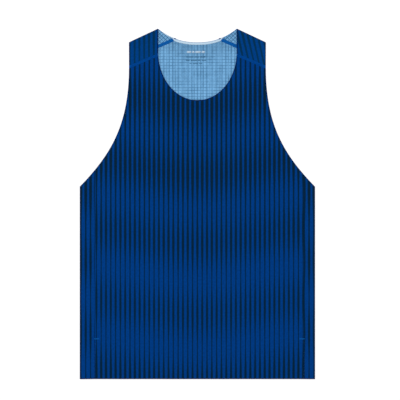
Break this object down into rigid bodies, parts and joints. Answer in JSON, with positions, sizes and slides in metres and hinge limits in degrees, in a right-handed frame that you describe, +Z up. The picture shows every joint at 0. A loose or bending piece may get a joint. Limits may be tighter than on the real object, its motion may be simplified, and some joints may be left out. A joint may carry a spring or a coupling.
{
  "type": "running singlet",
  "caption": "Sleeveless running top laid flat on its back, with a scooped neck, folded shoulder yokes and side seams set forward.",
  "frame": {"origin": "on the surface the garment lies on, in the middle of its box: half way between the side folds and half way between the hem and the shoulders", "axes": "+Y from the hem to the neck, +X to the wearer's left, +Z up out of the surface, so the front faces +Z"},
  "size_m": [0.47, 0.7, 0.0055],
  "materials": {
    "outer_cloth": "matte, fine polyester knit, blue with dark pinstripes outside and a pale blue grid inside",
    "front_tape": "soft satin, flat woven seam tape",
    "back_tape": "soft satin, flat woven seam tape",
    "neck_tape": "matte, knitted neck tape"
  },
  "bodies": {
    "root": {"front_panel": "outer_cloth", "back_panel": "outer_cloth", "yoke_left": "outer_cloth", "yoke_right": "outer_cloth", "front_seam_tape_left": "front_tape", "front_seam_tape_right": "front_tape", "back_seam_tape_left": "back_tape", "back_seam_tape_right": "back_tape", "back_neck_tape": "neck_tape"}
  },
  "joints": []
}
